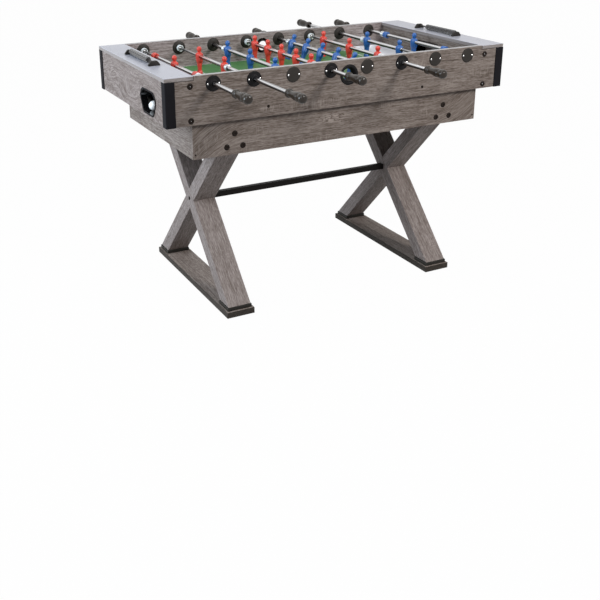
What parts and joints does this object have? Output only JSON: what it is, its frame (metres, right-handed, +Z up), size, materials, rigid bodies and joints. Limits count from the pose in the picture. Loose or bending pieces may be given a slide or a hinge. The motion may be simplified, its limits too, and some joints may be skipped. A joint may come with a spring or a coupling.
{
  "type": "multi game table",
  "caption": "Multi game table: a table football cabinet with sliding and spinning rods that lifts off a small pool table on crossed legs.",
  "frame": {"origin": "on the floor, under the middle of the table", "axes": "+X along the table towards the right end, +Y across it towards the far long wall, +Z up"},
  "size_m": [1.37, 1.3766, 0.9076],
  "materials": {
    "grey_oak": "brushed grey-brown oak laminate, satin",
    "pale_top": "pale grey laminate, satin",
    "black_plastic": "moulded, fine matt",
    "black_steel": "black powder coat",
    "green_field": "printed playing board, semi-gloss",
    "pool_cloth": "green cloth",
    "chrome": "polished",
    "red_player": "moulded, semi-gloss",
    "blue_player": "moulded, semi-gloss",
    "dark_grip": "moulded, satin",
    "white_ball": "moulded, satin"
  },
  "bodies": {
    "pool_table": {"apron_front": "grey_oak", "apron_back": "grey_oak", "apron_left": "grey_oak", "apron_right": "grey_oak", "left_foot_rail": "grey_oak", "right_foot_rail": "grey_oak", "left_leg_through_beam": "grey_oak", "left_leg_upper_half": "grey_oak", "left_leg_lower_half": "grey_oak", "right_leg_through_beam": "grey_oak", "right_leg_upper_half": "grey_oak", "right_leg_lower_half": "grey_oak", "stretcher": "black_steel", "pool_bed": "pool_cloth"},
    "football_cabinet": {"front_wall": "grey_oak", "back_wall": "grey_oak", "left_end_panel": "grey_oak", "right_end_panel": "grey_oak", "left_goal_wall": "grey_oak", "right_goal_wall": "grey_oak", "left_top_board": "pale_top", "left_return_cup": "black_plastic", "left_scorer_frame": "black_plastic", "corner_guard_left_front": "black_plastic", "corner_guard_left_back": "black_plastic", "right_top_board": "pale_top", "right_return_cup": "black_plastic", "right_scorer_frame": "black_plastic", "corner_guard_right_front": "black_plastic", "corner_guard_right_back": "black_plastic", "front_serve_cup": "black_plastic", "back_serve_cup": "black_plastic", "playfield": "green_field", "match_ball": "white_ball"},
    "rod_1_inner": {"rod_1_shaft": "chrome"},
    "rod_1_outer": {"rod_1_tube_and_men": "red_player", "rod_1_handle": "dark_grip"},
    "rod_2_inner": {"rod_2_shaft": "chrome"},
    "rod_2_outer": {"rod_2_tube_and_men": "red_player", "rod_2_handle": "dark_grip"},
    "rod_3_inner": {"rod_3_shaft": "chrome"},
    "rod_3_outer": {"rod_3_tube_and_men": "blue_player", "rod_3_handle": "dark_grip"},
    "rod_4_inner": {"rod_4_shaft": "chrome"},
    "rod_4_outer": {"rod_4_tube_and_men": "red_player", "rod_4_handle": "dark_grip"},
    "rod_5_inner": {"rod_5_shaft": "chrome"},
    "rod_5_outer": {"rod_5_tube_and_men": "blue_player", "rod_5_handle": "dark_grip"},
    "rod_6_inner": {"rod_6_shaft": "chrome"},
    "rod_6_outer": {"rod_6_tube_and_men": "red_player", "rod_6_handle": "dark_grip"},
    "rod_7_inner": {"rod_7_shaft": "chrome"},
    "rod_7_outer": {"rod_7_tube_and_men": "blue_player", "rod_7_handle": "dark_grip"},
    "rod_8_inner": {"rod_8_shaft": "chrome"},
    "rod_8_outer": {"rod_8_tube_and_men": "blue_player", "rod_8_handle": "dark_grip"},
    "left_beads": {"left_score_beads": "black_plastic"},
    "right_beads": {"right_score_beads": "black_plastic"}
  },
  "joints": [
    {"name": "cabinet_lift", "type": "slide", "parent": "pool_table", "child": "football_cabinet", "axis": [0, 0, 1], "range_m": [0, 0.25]},
    {"name": "rod_1_spin", "type": "hinge", "parent": "football_cabinet", "child": "rod_1_inner", "pos_m": [-0.51625, 0, 0.856], "axis": [0, 1, 0], "continuous": true},
    {"name": "rod_1_slide", "type": "slide", "parent": "rod_1_inner", "child": "rod_1_outer", "axis": [0, 1, 0], "range_m": [-0.08739, 0.09563]},
    {"name": "rod_2_spin", "type": "hinge", "parent": "football_cabinet", "child": "rod_2_inner", "pos_m": [-0.36875, 0, 0.856], "axis": [0, 1, 0], "continuous": true},
    {"name": "rod_2_slide", "type": "slide", "parent": "rod_2_inner", "child": "rod_2_outer", "axis": [0, 1, 0], "range_m": [-0.17787, 0.16584]},
    {"name": "rod_3_spin", "type": "hinge", "parent": "football_cabinet", "child": "rod_3_inner", "pos_m": [-0.22125, 0, 0.856], "axis": [0, 1, 0], "continuous": true},
    {"name": "rod_3_slide", "type": "slide", "parent": "rod_3_inner", "child": "rod_3_outer", "axis": [0, 1, 0], "range_m": [-0.07396, 0.09844]},
    {"name": "rod_4_spin", "type": "hinge", "parent": "football_cabinet", "child": "rod_4_inner", "pos_m": [-0.07375, 0, 0.856], "axis": [0, 1, 0], "continuous": true},
    {"name": "rod_4_slide", "type": "slide", "parent": "rod_4_inner", "child": "rod_4_outer", "axis": [0, 1, 0], "range_m": [-0.07884, 0.0371]},
    {"name": "rod_5_spin", "type": "hinge", "parent": "football_cabinet", "child": "rod_5_inner", "pos_m": [0.07375, 0, 0.856], "axis": [0, 1, 0], "continuous": true},
    {"name": "rod_5_slide", "type": "slide", "parent": "rod_5_inner", "child": "rod_5_outer", "axis": [0, 1, 0], "range_m": [-0.03623, 0.07971]},
    {"name": "rod_6_spin", "type": "hinge", "parent": "football_cabinet", "child": "rod_6_inner", "pos_m": [0.22125, 0, 0.856], "axis": [0, 1, 0], "continuous": true},
    {"name": "rod_6_slide", "type": "slide", "parent": "rod_6_inner", "child": "rod_6_outer", "axis": [0, 1, 0], "range_m": [-0.09723, 0.07516]},
    {"name": "rod_7_spin", "type": "hinge", "parent": "football_cabinet", "child": "rod_7_inner", "pos_m": [0.36875, 0, 0.856], "axis": [0, 1, 0], "continuous": true},
    {"name": "rod_7_slide", "type": "slide", "parent": "rod_7_inner", "child": "rod_7_outer", "axis": [0, 1, 0], "range_m": [-0.16842, 0.1753]},
    {"name": "rod_8_spin", "type": "hinge", "parent": "football_cabinet", "child": "rod_8_inner", "pos_m": [0.51625, 0, 0.856], "axis": [0, 1, 0], "continuous": true},
    {"name": "rod_8_slide", "type": "slide", "parent": "rod_8_inner", "child": "rod_8_outer", "axis": [0, 1, 0], "range_m": [-0.08309, 0.09993]},
    {"name": "left_score_slide", "type": "slide", "parent": "football_cabinet", "child": "left_beads", "axis": [0, 1, 0], "range_m": [-0.0484, 0]},
    {"name": "right_score_slide", "type": "slide", "parent": "football_cabinet", "child": "right_beads", "axis": [0, 1, 0], "range_m": [0, 0.0484]}
  ]
}
